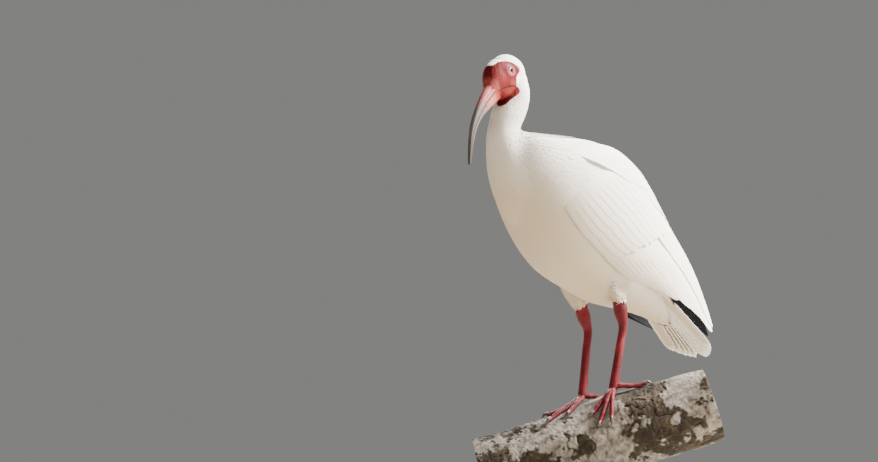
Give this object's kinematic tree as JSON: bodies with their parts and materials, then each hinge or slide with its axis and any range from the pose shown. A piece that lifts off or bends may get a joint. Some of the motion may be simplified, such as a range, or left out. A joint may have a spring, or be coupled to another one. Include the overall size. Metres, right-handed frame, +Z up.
{
  "type": "white ibis display model",
  "caption": "Life-size still model of an adult American white ibis, standing on a cut length of branch held by a plain display stand.",
  "frame": {"origin": "centre of the stand base's underside, on the floor", "axes": "+Z up; the bird's body heads towards -X, its tail towards +X, its left side towards -Y"},
  "size_m": [0.3461, 0.2147, 0.5077],
  "materials": {
    "plumage": "soft matte feathers, black at the wing tips",
    "bare_skin": "satin, scaled",
    "bill": "satin horn, pink at the base and grey to the tip",
    "eye": "gloss",
    "bark": "rough bark with pale lichen",
    "stand_paint": "satin black",
    "rod_steel": "brushed"
  },
  "bodies": {
    "root": {"torso": "plumage", "neck": "plumage", "head": "plumage", "eye_left": "eye", "eye_right": "eye", "bill_upper": "bill", "bill_lower": "bill", "wing_left": "plumage", "wing_right": "plumage", "tail": "plumage", "thigh_left": "plumage", "thigh_right": "plumage", "leg_left": "bare_skin", "leg_right": "bare_skin", "foot_left": "bare_skin", "foot_right": "bare_skin", "perch": "bark", "stand_rod_1": "rod_steel", "stand_rod_2": "rod_steel", "stand_base": "stand_paint"}
  },
  "joints": []
}
